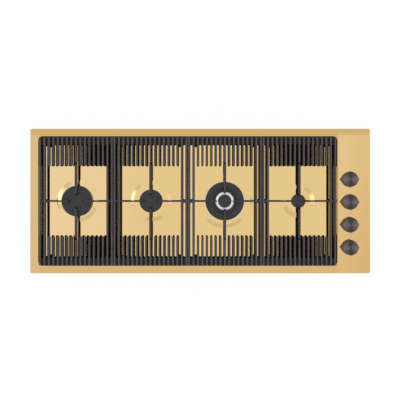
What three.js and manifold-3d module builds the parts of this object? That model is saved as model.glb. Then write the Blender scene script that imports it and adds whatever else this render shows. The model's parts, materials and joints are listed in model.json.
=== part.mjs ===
// A built-in gas cooktop: one wide gold-coloured steel top with four burners in a row, four
// comb-shaped cast-iron grates over them, and four push-and-turn knobs on the strip at its right.
// Millimetres. +X is to the cook's right, +Y to the rear and +Z up. The origin lies under the
// middle of the top plate, at the height of the bottom pan's underside.

import * as THREE from "three";
import { mergeVertices } from "three/addons/utils/BufferGeometryUtils.js";
import Module from "manifold-3d";

const wasm = await Module();
wasm.setup();

// ---- Driving dimensions ----

// What two separate pieces that rest on or in one another keep between them.
const seat = 0.3;

// How far a cutting tool runs past what it cuts, so that no thin skin is left.
const past = 1;

// How finely round forms are cut into flat facets.
const facets = { large: 24, medium: 12, small: 8, tiny: 6, corner: 2, edge: 2 };

// The pressed top, which overlaps the worktop all round and holds a sunk well.
const plate = { width: 1200, depth: 510, corner: 8, sheet: 1.2, edgeRound: 2, rise: 6 };
const rim = { left: 30, right: 117, front: 25, rear: 25 };
const well = { depth: 10, corner: 8, shoulder: 4 };

// How deep the cooktop hangs under the worktop's surface, and the worktop it is clamped to.
const buildIn = 50;
const worktop = 30;

const seal = { width: 10, fromLip: 1.5 };
const pan = { sheet: 1, fromSeal: 4, bay: { width: 74, depth: 62 } };
const vents = { count: 9, length: 90, width: 6, pitch: 16, inset: 150 };

// The grates: 17 bars each, a rail at each end, and four fingers that carry the pan.
const grate = {
  count: 4, gap: 1, sideGap: 7, endGap: 6, rise: 46, bars: 17, fullBars: 2,
  barTop: 6.6, barBase: 8.2, barHeight: 18, toothLength: 101, tip: 3,
};
const rail = { depth: 25, drop: 5.5, height: 12.5 };
const finger = {
  width: 7, drop: 1.6, height: 11, clear: 22, clearOfRing: 28, shoulderAt: 92, taper: 3, taperRun: 40,
  nose: 6, noseDrop: 5,
};
const web = { width: 24, waist: 11, height: 10, drop: 2.6 };
const foot = { top: 13, bottom: 9, inset: 13 };

// The burners from left to right. A ring burner has a second, inner flame under its own cap.
const burners = [
  { cap: 54, throat: 38, embossTop: 58, embossFoot: 75, ports: 12 },
  { cap: 40.3, throat: 27, embossTop: 58, embossFoot: 74, ports: 10 },
  { cap: 67.8, throat: 52, embossTop: 78, embossFoot: 97, ports: 14, ring: true },
  { cap: 24, throat: 13.5, embossTop: 42, embossFoot: 60, ports: 8 },
];
const emboss = 4;
const crown = { height: 14, overhang: 1.5, wall: 7, floor: 3, slotWidth: 2.4, slotDepth: 4 };
const mixer = { radius: 9, wall: 1.6, length: 9 };
const cap = { height: 5.6, edge: 2.4, dome: 1.2, recess: 1.4 };
const ringCap = { hole: 34.5, height: 5, crest: 48 };
const innerCrown = {
  radius: 33.5, rimWidth: 6, lip: 1, slope: 2, height: 10, neck: 18, ports: 8, slotDepth: 2.2,
};
const innerCap = { radius: 23.5, height: 4.4 };
const cup = { depth: 27, wall: 2, flange: 2.5, flangeOver: 3, neckRise: 1, taper: 6 };
const stub = { radius: 6.5, length: 15, height: 9 };
const pin = { radius: 2.4, below: 16, inset: 3.2, bore: 0.4, turn: 45 };
const electrode = { shoulder: 5, tipRadius: 0.8, tip: 4.5 };
const thermocouple = { shoulder: 3, tipRadius: 1.5, tip: 6 };

// The knobs, counted from the rear, and the gas taps under them.
const knob = {
  count: 4, fromRight: 72, first: 76.7, pitch: 80, radius: 27, height: 21, gap: 5,
  nib: 6.5, heel: 3, point: 1.4, taper: 0.8, edge: 2, wall: 2.4, hub: 9,
};
const press = 4;
const spindle = { radius: 4, flat: 3, inKnob: 15, holeGap: 2 };
const plug = { foot: 7, top: 8.2, height: 22, socket: 15, socketGap: 0.4 };
const tap = {
  radius: 15, floor: 3.5, height: 27, base: 12, flangeX: 32, flangeY: 46, flange: 3, outlet: 28,
};
const bracket = { width: 46, sheet: 1.5, overrun: 36 };
const switches = { sheet: 1.5, width: 18, boxX: 12, boxY: 16, boxZ: 7, offset: 16, overrun: 14 };
const gasRail = { radius: 8, bore: 6, fromTap: 8, overrun: 28, endWall: 3 };
const inlet = { radius: 10.5, bore: 6.5, run: 26, bend: 14, drop: 8, collar: 3.5, collarLength: 9 };
const tube = { radius: 4, bend: 9, laneFrom: 22, lanePitch: 20, turnPitch: 12, turnFrom: 16 };

const clamp = { fromEnd: 260, width: 22, sheet: 2, reach: 14, leg: 16, gusset: 8 };
const sparkBox = {
  x: 72, y: 46, z: 24, nipple: 3.5, nippleHeight: 8, nipplePitch: 16, fromRear: 65, fromBurner: 75,
};
const mainsBox = { x: 62, y: 42, z: 30, fromBay: 40, pocket: 21 };
const gland = { radius: 6.5, nut: 9.5, nutLength: 4, tail: 9, bore: 4, height: 17, inside: 14 };

// ---- Heights and places that follow from them ----

const topZ = buildIn + plate.rise;
const plateUnder = topZ - plate.sheet;
const floorZ = topZ - well.depth;
const plateauZ = floorZ + emboss;
const grateTop = floorZ + grate.rise;
const panFloor = pan.sheet;

const plateBox = {
  left: -plate.width / 2, right: plate.width / 2, front: -plate.depth / 2, rear: plate.depth / 2,
};
const wellBox = {
  left: -plate.width / 2 + rim.left,
  right: plate.width / 2 - rim.right,
  front: -plate.depth / 2 + rim.front,
  rear: plate.depth / 2 - rim.rear,
};
const wellLength = wellBox.right - wellBox.left;
const wellMiddleY = (wellBox.front + wellBox.rear) / 2;
const grateWidth = (wellLength - 2 * grate.sideGap - (grate.count - 1) * grate.gap) / grate.count;
const grateDepth = wellBox.rear - wellBox.front - 2 * grate.endGap;
const barPitch = (grateWidth - grate.barBase) / (grate.bars - 1);

const panInset = plate.sheet + seal.fromLip + seal.width + pan.fromSeal;
const panBox = {
  left: -plate.width / 2 + panInset,
  right: plate.width / 2 - panInset,
  front: -plate.depth / 2 + panInset,
  rear: plate.depth / 2 - panInset,
};
const bayX = panBox.right - pan.bay.width;
const bayY = panBox.rear - pan.bay.depth;
const glandX = bayX - mainsBox.fromBay - mainsBox.x / 2;

const knobX = plate.width / 2 - knob.fromRight;
const spindleHole = spindle.radius + spindle.holeGap;
const tapTop = tap.base + tap.height;
const tapMiddle = tap.base + tap.height / 2;
const bracketTop = tapTop + seat + bracket.sheet;
const railX = knobX + tap.radius + gasRail.fromTap + gasRail.radius;
const railEnd = bayY + pan.sheet;
const tapFlangeBottom = tapTop - tap.flange;
const knobFoot = topZ + knob.gap;
const knobTop = knobFoot + knob.height;
const hubBottom = knobTop - knob.wall - spindle.inKnob;
const spindleFoot = tap.base + tap.floor + seat + plug.height - plug.socket + seat + press;

const cupBottom = plateauZ - plate.sheet - seat - cup.depth;
const stubZ = cupBottom + stub.height;
const crownFoot = plateauZ + seat;
const crownTop = crownFoot + crown.height;
const capFoot = crownTop + seat;
const neckTop = plateauZ + cup.neckRise;
const ringWallOutside = ringCap.hole + crown.wall / 2;

const burnerX = (i) => wellBox.left + grate.sideGap + grateWidth / 2 + i * (grateWidth + grate.gap);
const knobY = (i) => knob.first - i * knob.pitch;
const firstY = knobY(0);
const lastY = knobY(knob.count - 1);

// ---- Materials ----

function paint(color, roughness, metalness) {
  return new THREE.MeshStandardMaterial({ color, roughness, metalness });
}

const finish = {
  gold: paint(0xd9b483, 0.32, 1),
  castIron: paint(0x2c2a2c, 0.62, 0.2),
  enamel: paint(0x343338, 0.42, 0.1),
  aluminium: paint(0xc9c7c2, 0.4, 1),
  knobBlack: paint(0x57504e, 0.36, 0.9),
  steel: paint(0x9fa1a3, 0.4, 1),
  galvanised: paint(0xb4b8bb, 0.5, 0.9),
  brass: paint(0xc2a24e, 0.35, 1),
  copper: paint(0xb87348, 0.35, 1),
  ceramic: paint(0xf0ece2, 0.35, 0),
  rubber: paint(0x1f1f20, 0.85, 0),
  plastic: paint(0xd8d6cd, 0.55, 0),
  darkPlastic: paint(0x26272a, 0.5, 0),
};

// ---- Helpers ----

// A closed geometry as a solid that can be joined and cut.
function solid(geometry) {
  const bare = geometry.index ? geometry.toNonIndexed() : geometry.clone();
  bare.deleteAttribute("normal");
  bare.deleteAttribute("uv");
  const merged = mergeVertices(bare, 1e-4);
  const corners = merged.index.array;
  const kept = [];
  for (let i = 0; i < corners.length; i += 3) {
    const [a, b, c] = corners.slice(i, i + 3);
    if (a !== b && b !== c && c !== a) kept.push(a, b, c);
  }
  const vertProperties = merged.attributes.position.array;
  const triVerts = Uint32Array.from(kept);
  return new wasm.Manifold(new wasm.Mesh({ numProp: 3, vertProperties, triVerts }));
}

const joined = (...pieces) => pieces.reduce((whole, piece) => whole.add(piece));
const cut = (whole, ...tools) => tools.reduce((left, tool) => left.subtract(tool), whole);

// A closed skin through rings of points, each ring turning left about the way that they go.
function loft(rings) {
  const count = rings[0].length;
  const corners = [];
  for (let k = 0; k + 1 < rings.length; k++) {
    for (let i = 0; i < count; i++) {
      const j = (i + 1) % count;
      const [a, b, c, d] = [k * count + i, k * count + j, (k + 1) * count + j, (k + 1) * count + i];
      corners.push(a, b, c, a, c, d);
    }
  }
  const last = (rings.length - 1) * count;
  for (let i = 1; i + 1 < count; i++) {
    corners.push(0, i + 1, i);
    corners.push(last, last + i, last + i + 1);
  }
  const geometry = new THREE.BufferGeometry().setFromPoints(rings.flat());
  return solid(geometry.setIndex(corners));
}

// The outline of a box with rounded corners, grown by `grow` on every side, at one height.
function boxRing({ left, right, front, rear }, corner, grow, z) {
  const radius = Math.max(corner + grow, 0.2);
  const centres = [
    [right + grow - radius, rear + grow - radius],
    [left - grow + radius, rear + grow - radius],
    [left - grow + radius, front - grow + radius],
    [right + grow - radius, front - grow + radius],
  ];
  const ring = [];
  centres.forEach(([x, y], quarter) => {
    for (let step = 0; step <= facets.corner; step++) {
      const angle = ((quarter + step / facets.corner) * Math.PI) / 2;
      ring.push(new THREE.Vector3(x + radius * Math.cos(angle), y + radius * Math.sin(angle), z));
    }
  });
  return ring;
}

// An outline drawn with x and height, pushed through along Y from `front` to `rear`.
function pushedY(outline, front, rear) {
  const shape = new THREE.Shape(outline.map(([x, z]) => new THREE.Vector2(x, z)));
  const geometry = new THREE.ExtrudeGeometry(shape, { depth: rear - front, bevelEnabled: false });
  return solid(geometry.rotateX(Math.PI / 2).translate(0, rear, 0));
}

// An outline drawn with y and height, pushed through along X from `left` to `right`.
function pushedX(outline, left, right) {
  const shape = new THREE.Shape(outline.map(([y, z]) => new THREE.Vector2(y, z)));
  const geometry = new THREE.ExtrudeGeometry(shape, { depth: right - left, bevelEnabled: false });
  const turn = new THREE.Matrix4().makeBasis(
    new THREE.Vector3(0, 1, 0),
    new THREE.Vector3(0, 0, 1),
    new THREE.Vector3(1, 0, 0),
  );
  return solid(geometry.applyMatrix4(turn).translate(left, 0, 0));
}

// A plan outline (a Shape) pushed up from `bottom` to `top`.
function pushedUp(shape, bottom, top, curveSegments = facets.corner) {
  const depth = top - bottom;
  const geometry = new THREE.ExtrudeGeometry(shape, { depth, bevelEnabled: false, curveSegments });
  return solid(geometry.translate(0, 0, bottom));
}

function block(left, right, front, rear, bottom, top) {
  const geometry = new THREE.BoxGeometry(right - left, rear - front, top - bottom);
  return solid(geometry.translate((left + right) / 2, (front + rear) / 2, (bottom + top) / 2));
}

// A profile of [radius, height] points turned about the upright axis through x, y.
function turned(profile, segments, x = 0, y = 0) {
  const points = profile.map(([radius, z]) => new THREE.Vector2(radius, z));
  if (THREE.ShapeUtils.isClockWise(points)) points.reverse();
  if (points.every((point) => point.x > 0)) points.push(points[0].clone());
  const geometry = new THREE.LatheGeometry(points, segments);
  return solid(geometry.rotateX(Math.PI / 2).translate(x, y, 0));
}

function rod(radius, bottom, top, segments, x = 0, y = 0) {
  return turned([[0, bottom], [radius, bottom], [radius, top], [0, top]], segments, x, y);
}

// A round bar along X or Y: an upright one turned over about the origin, then moved.
function rodY(radius, front, rear, segments, x, z) {
  return rod(radius, front, rear, segments).rotate([-90, 0, 0]).translate([x, 0, z]);
}

function rodX(radius, left, right, segments, y, z) {
  return rod(radius, left, right, segments).rotate([0, 90, 0]).translate([0, y, z]);
}

// The middle line of a pipe: straight legs between the points, with a bend at each corner.
function bentPath(points, bend) {
  const path = new THREE.CurvePath();
  let from = points[0];
  for (let i = 1; i + 1 < points.length; i++) {
    const toward = points[i].clone().sub(points[i - 1]).normalize();
    const away = points[i + 1].clone().sub(points[i]).normalize();
    const start = points[i].clone().addScaledVector(toward, -bend);
    const end = points[i].clone().addScaledVector(away, bend);
    path.add(new THREE.LineCurve3(from, start));
    path.add(new THREE.QuadraticBezierCurve3(start, points[i], end));
    from = end;
  }
  path.add(new THREE.LineCurve3(from, points.at(-1)));
  return path.getPoints(facets.corner);
}

// A round pipe along such a line, its rings kept from twisting.
function pipe(points, bend, radius, sides) {
  const line = bentPath(points, bend);
  const tangents = line.map((_, i) => {
    const before = line[Math.max(i - 1, 0)];
    const after = line[Math.min(i + 1, line.length - 1)];
    return after.clone().sub(before).normalize();
  });
  let across = new THREE.Vector3(0, 0, 1);
  if (Math.abs(tangents[0].z) > 0.9) across = new THREE.Vector3(1, 0, 0);
  const rings = line.map((centre, i) => {
    across = across.clone().addScaledVector(tangents[i], -across.dot(tangents[i])).normalize();
    const up = tangents[i].clone().cross(across);
    return Array.from({ length: sides }, (_, k) => {
      const angle = (k / sides) * 2 * Math.PI;
      return centre.clone()
        .addScaledVector(across, radius * Math.cos(angle))
        .addScaledVector(up, radius * Math.sin(angle));
    });
  });
  return loft(rings);
}

// Steps of a quarter circle as [share across, share up] pairs.
function quarter(steps) {
  return Array.from({ length: steps + 1 }, (_, i) => {
    const angle = ((i / steps) * Math.PI) / 2;
    return [1 - Math.cos(angle), Math.sin(angle)];
  });
}

const cooktop = new THREE.Group();

// Shows a solid as a named mesh with its finish.
function add(name, whole, material) {
  const { numProp, vertProperties, triVerts } = whole.getMesh();
  const geometry = new THREE.BufferGeometry();
  const places = new Float32Array((vertProperties.length / numProp) * 3);
  for (let i = 0; i * numProp < vertProperties.length; i++) {
    places.set(vertProperties.subarray(i * numProp, i * numProp + 3), i * 3);
  }
  geometry.setAttribute("position", new THREE.BufferAttribute(places, 3));
  geometry.setIndex(new THREE.BufferAttribute(triVerts, 1));
  geometry.computeVertexNormals();
  const mesh = new THREE.Mesh(geometry, material);
  mesh.name = name;
  cooktop.add(mesh);
}

// ---- The pressed top ----

// The well's form, grown sideways by `grow`, with a rounded shoulder that meets `rimZ`.
function wellForm(grow, bottom, rimZ, over) {
  const radius = well.shoulder - grow;
  const rings = [boxRing(wellBox, well.corner, grow, bottom)];
  for (const [out, up] of quarter(facets.edge)) {
    rings.push(boxRing(wellBox, well.corner, grow + radius * out, rimZ - radius + radius * up));
  }
  rings.push(boxRing(wellBox, well.corner, grow + radius, rimZ + over));
  return loft(rings);
}

function embossRing({ throat, embossTop, embossFoot }, x) {
  const lap = 0.2;
  const profile = [
    [embossFoot + lap, floorZ],
    [embossTop, plateauZ],
    [throat, plateauZ],
    [throat, plateauZ - plate.sheet],
    [embossTop, plateauZ - plate.sheet],
    [embossFoot + lap, floorZ - plate.sheet],
  ];
  return turned(profile, facets.large, x, wellMiddleY);
}

// Where a burner's two pins stand: the electrode at the left rear, the thermocouple opposite.
function pinPlace(burner, x, side) {
  const angle = THREE.MathUtils.degToRad(90 + side * pin.turn);
  const reach = burner.cap - pin.inset;
  return [x + reach * Math.cos(angle), wellMiddleY + reach * Math.sin(angle)];
}

function pinHoles(burner, x, bottom, top) {
  return [-1, 1].map((side) => {
    return rod(pin.radius + pin.bore, bottom, top, facets.tiny, ...pinPlace(burner, x, side));
  });
}

function makeTopPlate() {
  const outer = [boxRing(plateBox, plate.corner, 0, buildIn + seat)];
  for (const [inward, up] of quarter(facets.edge)) {
    const z = topZ - plate.edgeRound + plate.edgeRound * up;
    outer.push(boxRing(plateBox, plate.corner, -plate.edgeRound * inward, z));
  }
  const under = loft([
    boxRing(plateBox, plate.corner, -plate.sheet, buildIn - past),
    boxRing(plateBox, plate.corner, -plate.sheet, plateUnder),
  ]);
  const trayOutside = wellForm(plate.sheet, floorZ - plate.sheet, plateUnder, plate.sheet / 2);
  const trayInside = wellForm(0, floorZ, topZ, past);
  let whole = cut(joined(cut(loft(outer), under), trayOutside), trayInside);
  burners.forEach((burner, i) => {
    const x = burnerX(i);
    const low = floorZ - plate.sheet - past;
    whole = cut(whole, rod(burner.embossFoot, low, plateauZ, facets.large, x, wellMiddleY));
    whole = joined(whole, embossRing(burner, x));
    whole = cut(whole, ...pinHoles(burner, x, floorZ, plateauZ + past));
  });
  for (let i = 0; i < knob.count; i++) {
    whole = cut(whole, rod(spindleHole, plateUnder - past, topZ + past, facets.small, knobX, knobY(i)));
  }
  add("top_plate", whole, finish.gold);
}

// ---- What lies under the worktop ----

function makeSeal() {
  const outside = -plate.sheet - seal.fromLip;
  const ring = (grow, z) => boxRing(plateBox, plate.corner, grow, z);
  const whole = loft([ring(outside, buildIn), ring(outside, plateUnder - seat)]);
  const inside = outside - seal.width;
  add("worktop_seal", cut(whole, loft([ring(inside, buildIn - past), ring(inside, topZ)])), finish.rubber);
}

// The tray's plan, shrunk by `inset`, with the open bay that the gas inlet stands in.
function panShape(inset) {
  const { left, right, front, rear } = panBox;
  return new THREE.Shape(
    [
      [left + inset, front + inset],
      [right - inset, front + inset],
      [right - inset, bayY - inset],
      [bayX - inset, bayY - inset],
      [bayX - inset, rear - inset],
      [left + inset, rear - inset],
    ].map(([x, y]) => new THREE.Vector2(x, y)),
  );
}

// A hole for something round through the tray's wall that ends at `outside` along Y.
function holeThrough(radius, outside, x, z) {
  return rodY(radius + seat, outside - pan.sheet - past, outside + past, facets.small, x, z);
}

function makePan() {
  let whole = cut(
    pushedUp(panShape(0), 0, plateUnder - seat),
    pushedUp(panShape(pan.sheet), pan.sheet, topZ),
  );
  for (const side of [-1, 1]) {
    const middle = side < 0 ? panBox.left + vents.inset : panBox.right - vents.inset - pan.bay.width;
    for (let i = 0; i < vents.count; i++) {
      const x = middle + (i - (vents.count - 1) / 2) * vents.pitch;
      const slot = [x - vents.width / 2, x + vents.width / 2, -vents.length / 2, vents.length / 2];
      whole = cut(whole, block(...slot, -past, pan.sheet + past));
    }
  }
  whole = cut(
    whole,
    holeThrough(gasRail.radius, bayY, railX, tapMiddle),
    holeThrough(gland.radius, panBox.rear, glandX, gland.height),
  );
  add("bottom_pan", whole, finish.galvanised);
}

// Two clamps at the rear and two at the front. Each is a bent bracket that grips the
// worktop's underside; the screw that draws it up is a bought part.
function makeClamps() {
  const gripZ = buildIn - worktop;
  for (let i = 0; i < 4; i++) {
    const side = i < 2 ? 1 : -1;
    const x = (i % 2 ? 1 : -1) * (plate.width / 2 - clamp.fromEnd);
    const wall = (side > 0 ? panBox.rear : -panBox.front) + seat;
    const outline = [
      [wall, gripZ - clamp.leg],
      [wall + clamp.sheet, gripZ - clamp.leg],
      [wall + clamp.sheet, gripZ - clamp.sheet - clamp.gusset],
      [wall + clamp.sheet + clamp.gusset, gripZ - clamp.sheet],
      [wall + clamp.reach, gripZ - clamp.sheet],
      [wall + clamp.reach, gripZ],
      [wall, gripZ],
    ];
    const bent = pushedX(outline, x - clamp.width / 2, x + clamp.width / 2);
    add(`fixing_clamp_${i + 1}`, side > 0 ? bent : bent.mirror([0, 1, 0]), finish.steel);
  }
}

// ---- Gas and spark supply ----

// The tap's body: a barrel with a tapered bore, a flange on top, and a spigot to either side.
function makeTapBody(i) {
  const y = knobY(i);
  const boreFoot = tap.base + tap.floor;
  const barrel = rod(tap.radius, tap.base, tapTop, facets.medium, knobX, y);
  const ears = block(
    knobX - tap.flangeX / 2, knobX + tap.flangeX / 2,
    y - tap.flangeY / 2, y + tap.flangeY / 2, tapFlangeBottom, tapTop,
  );
  const outlet = rodX(stub.radius, knobX - tap.outlet, knobX, facets.small, y, tapMiddle);
  const feed = rodX(stub.radius, knobX, railX - gasRail.radius - seat, facets.small, y, tapMiddle);
  const bore = turned([
    [0, boreFoot],
    [plug.foot + seat, boreFoot],
    [plug.top + seat, boreFoot + plug.height],
    [plug.top + seat, tapTop + past],
    [0, tapTop + past],
  ], facets.medium, knobX, y);
  add(`tap_body_${i + 1}`, cut(joined(barrel, ears, outlet, feed), bore), finish.brass);
}

// The tapered plug that turns in the body; its socket takes the spindle's foot.
function makeTapPlug(i) {
  const bottom = tap.base + tap.floor + seat;
  const top = bottom + plug.height;
  const bore = spindle.radius + plug.socketGap;
  const profile = [
    [0, bottom],
    [plug.foot, bottom],
    [plug.top, top],
    [bore, top],
    [bore, top - plug.socket],
    [0, top - plug.socket],
  ];
  add(`tap_plug_${i + 1}`, turned(profile, facets.medium, knobX, knobY(i)), finish.brass);
}

// The spindle, with the flat near its top that the knob grips.
function makeSpindle(i, x, y) {
  const top = knobTop - knob.wall - seat;
  const round = rod(spindle.radius, spindleFoot, top, facets.small, x, y);
  const side = spindle.radius + past;
  const flat = block(x + spindle.flat, x + side, y - side, y + side, hubBottom, top + past);
  add(`tap_spindle_${i + 1}`, cut(round, flat), finish.steel);
}

// How far the knob's outline lies from its axis: round, with straight flanks up to four points, of
// which the longest is the nib that shows the setting.
function knobReach(angle, inset) {
  const round = knob.radius - inset;
  const flank = (middle, height) => {
    const off = Math.abs(THREE.MathUtils.euclideanModulo(angle - middle + 180, 360) - 180);
    const spread = Math.acos(round / (round + height));
    return round / Math.cos(Math.max(0, spread - THREE.MathUtils.degToRad(off)));
  };
  return Math.max(flank(0, knob.heel), flank(90, knob.point), flank(180, knob.nib), flank(270, knob.point));
}

function knobRing(inset, z, x, y) {
  return Array.from({ length: facets.large }, (_, k) => {
    const angle = (k / facets.large) * 360;
    const turn = THREE.MathUtils.degToRad(angle);
    const reach = knobReach(angle, inset);
    return new THREE.Vector3(x + reach * Math.cos(turn), y + reach * Math.sin(turn), z);
  });
}

function makeKnob(i) {
  const [x, y] = [knobX, knobY(i)];
  const shell = loft([
    knobRing(0, knobFoot, x, y),
    knobRing(knob.taper, knobTop - knob.edge, x, y),
    knobRing(knob.taper + knob.edge, knobTop, x, y),
  ]);
  const inside = knob.radius - knob.taper - knob.wall;
  const hollow = rod(inside, knobFoot - past, knobTop - knob.wall, facets.medium, x, y);
  const hub = rod(knob.hub, hubBottom, knobTop - knob.wall / 2, facets.small, x, y);
  const wide = knob.hub;
  const bore = cut(
    rod(spindle.radius + seat, hubBottom - past, knobTop - knob.wall, facets.small, x, y),
    block(x + spindle.flat + seat, x + wide, y - wide, y + wide, hubBottom - 2 * past, knobTop),
  );
  add(`knob_${i + 1}`, cut(joined(cut(shell, hollow), hub), bore), finish.knobBlack);
}

// One channel under the control strip carries the four taps.
function makeTapBracket() {
  const [left, right] = [knobX - bracket.width / 2, knobX + bracket.width / 2];
  const [low, high, wall] = [tapTop + seat, plateUnder - seat, bracket.sheet];
  const outline = [
    [left, low], [right, low], [right, high], [right - wall, high],
    [right - wall, low + wall], [left + wall, low + wall], [left + wall, high], [left, high],
  ];
  let whole = pushedY(outline, lastY - bracket.overrun, firstY + bracket.overrun);
  for (let i = 0; i < knob.count; i++) {
    whole = cut(whole, rod(spindleHole, low - past, low + wall + past, facets.small, knobX, knobY(i)));
  }
  add("tap_bracket", whole, finish.galvanised);
}

// The strip of push switches round the spindles that sets off the sparks.
function makeSwitchStrip() {
  const low = bracketTop + seat;
  const high = low + switches.boxZ;
  const front = lastY - switches.overrun;
  const rear = firstY + switches.overrun;
  const [narrow, wide] = [switches.boxX / 2, switches.width / 2];
  let whole = block(knobX - wide, knobX + wide, front, rear, low, low + switches.sheet);
  for (let i = 0; i < knob.count; i++) {
    const y = knobY(i) - switches.offset;
    const sides = [knobX - narrow, knobX + narrow, y - switches.boxY / 2, y + switches.boxY / 2];
    whole = joined(whole, block(...sides, low, high));
    whole = cut(whole, rod(spindleHole, low - past, high + past, facets.small, knobX, knobY(i)));
  }
  add("ignition_switch_strip", whole, finish.darkPlastic);
}

// The pipe that feeds the taps, shut at its front end.
function makeGasRail() {
  const front = lastY - gasRail.overrun;
  const outside = rodY(gasRail.radius, front, railEnd, facets.small, railX, tapMiddle);
  const inside = rodY(gasRail.bore, front + gasRail.endWall, railEnd + past, facets.small, railX, tapMiddle);
  add("gas_rail", cut(outside, inside), finish.steel);
}

// The elbow that turns the rail's end down, where the house's gas pipe is screwed on.
function makeInletElbow() {
  const start = new THREE.Vector3(railX, railEnd + seat, tapMiddle);
  const corner = start.clone().add(new THREE.Vector3(0, inlet.run, 0));
  const end = new THREE.Vector3(corner.x, corner.y, inlet.drop);
  const bend = Math.min(inlet.bend, (tapMiddle - inlet.drop) / 2);
  const outside = pipe([start, corner, end], bend, inlet.radius, facets.small);
  const before = start.clone().add(new THREE.Vector3(0, -past, 0));
  const after = end.clone().add(new THREE.Vector3(0, 0, -past));
  const inside = pipe([before, corner, after], bend, inlet.bore, facets.small);
  const collar = rodY(
    inlet.radius + inlet.collar, start.y, start.y + inlet.collarLength, facets.tiny, railX, tapMiddle,
  );
  add("gas_inlet_elbow", cut(joined(outside, collar), inside), finish.brass);
}

const cupReach = (burner) => burner.throat - cup.taper;
const stubEnd = (burner) => wellMiddleY - cupReach(burner) - stub.length;
const deepest = Math.max(...burners.map((burner) => burner.throat + stub.length));

// The copper tube from tap i to its burner: the rear tap feeds the nearest, right-hand burner.
function makeGasTube(i) {
  const index = burners.length - 1 - i;
  const x = burnerX(index);
  const startX = knobX - tap.outlet - seat;
  const away = Math.max(knob.count - 2 - i, 0);
  const turnX = startX - tube.turnFrom - away * tube.turnPitch;
  const laneY = wellMiddleY - deepest - tube.laneFrom - (i - 1) * tube.lanePitch;
  const points = [
    [startX, knobY(i)],
    [turnX, knobY(i)],
    [turnX, laneY],
    [x, laneY],
    [x, stubEnd(burners[index]) - seat],
  ];
  const heights = [tapMiddle, tapMiddle, stubZ, stubZ, stubZ];
  const line = points.map(([px, py], k) => new THREE.Vector3(px, py, heights[k]));
  add(`gas_tube_${i + 1}`, pipe(line, tube.bend, tube.radius, facets.tiny), finish.copper);
}

function makeSparkGenerator() {
  const x = burnerX(2) + sparkBox.fromBurner;
  const rear = panBox.rear - sparkBox.fromRear;
  const y = rear - sparkBox.y / 2;
  const low = panFloor + seat;
  const [left, right] = [x - sparkBox.x / 2, x + sparkBox.x / 2];
  let whole = block(left, right, rear - sparkBox.y, rear, low, low + sparkBox.z);
  for (let i = 0; i < burners.length; i++) {
    const nippleX = x + (i - (burners.length - 1) / 2) * sparkBox.nipplePitch;
    const top = low + sparkBox.z + sparkBox.nippleHeight;
    whole = joined(whole, rod(sparkBox.nipple, low + past, top, facets.tiny, nippleX, y));
  }
  add("spark_generator", whole, finish.plastic);
}

// The mains terminals, and the gland that their cable enters by.
function makeTerminals() {
  const rear = panBox.rear - pan.sheet - seat;
  const low = panFloor + seat;
  const [left, right] = [glandX - mainsBox.x / 2, glandX + mainsBox.x / 2];
  const box = block(left, right, rear - mainsBox.y, rear, low, low + mainsBox.z);
  const along = (radius, from, to, sides) => rodY(radius, from, to, sides, glandX, gland.height);
  const pocket = along(gland.radius + seat, rear - mainsBox.pocket, rear + past, facets.small);
  add("terminal_box", cut(box, pocket), finish.plastic);

  const wall = panBox.rear + seat;
  const tailEnd = wall + gland.tail;
  const body = along(gland.radius, rear - gland.inside, tailEnd, facets.small);
  const nut = along(gland.nut, wall, wall + gland.nutLength, facets.tiny);
  const bore = along(gland.bore, rear - gland.inside - past, tailEnd + past, facets.small);
  add("cable_gland", cut(joined(body, nut), bore), finish.darkPlastic);
}

// ---- Burners ----

// The die-cast cup under the plate, in which gas and air meet.
function makeCup(burner, i) {
  const x = burnerX(i);
  const flangeTop = plateauZ - plate.sheet - seat;
  const flangeBottom = flangeTop - cup.flange;
  const neck = burner.throat - seat;
  const low = cupReach(burner);
  const profile = [
    [0, cupBottom],
    [low, cupBottom],
    [neck, flangeBottom],
    [burner.cap + cup.flangeOver, flangeBottom],
    [burner.cap + cup.flangeOver, flangeTop],
    [neck, flangeTop],
    [neck, neckTop],
    [neck - cup.wall, neckTop],
    [neck - cup.wall, flangeBottom],
    [low - cup.wall, cupBottom + cup.wall],
    [0, cupBottom + cup.wall],
  ];
  const front = stubEnd(burner);
  const spigot = rodY(stub.radius, front, wellMiddleY - low + cup.wall / 2, facets.small, x, stubZ);
  const whole = joined(turned(profile, facets.medium, x, wellMiddleY), spigot);
  const holes = pinHoles(burner, x, flangeBottom - past, flangeTop + past);
  add(`burner_cup_${i + 1}`, cut(whole, ...holes), finish.aluminium);
}

// Slots cut right across a crown's rim, so that each makes two flame ports.
function portSlots(count, reach, bottom, top, x) {
  return Array.from({ length: count / 2 }, (_, i) => {
    const slot = block(-reach, reach, -crown.slotWidth / 2, crown.slotWidth / 2, bottom, top);
    return slot.rotate([0, 0, ((i + 0.5) * 360) / count]).translate([x, wellMiddleY, 0]);
  });
}

const crownRadius = (burner) => burner.cap - crown.overhang;

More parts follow.
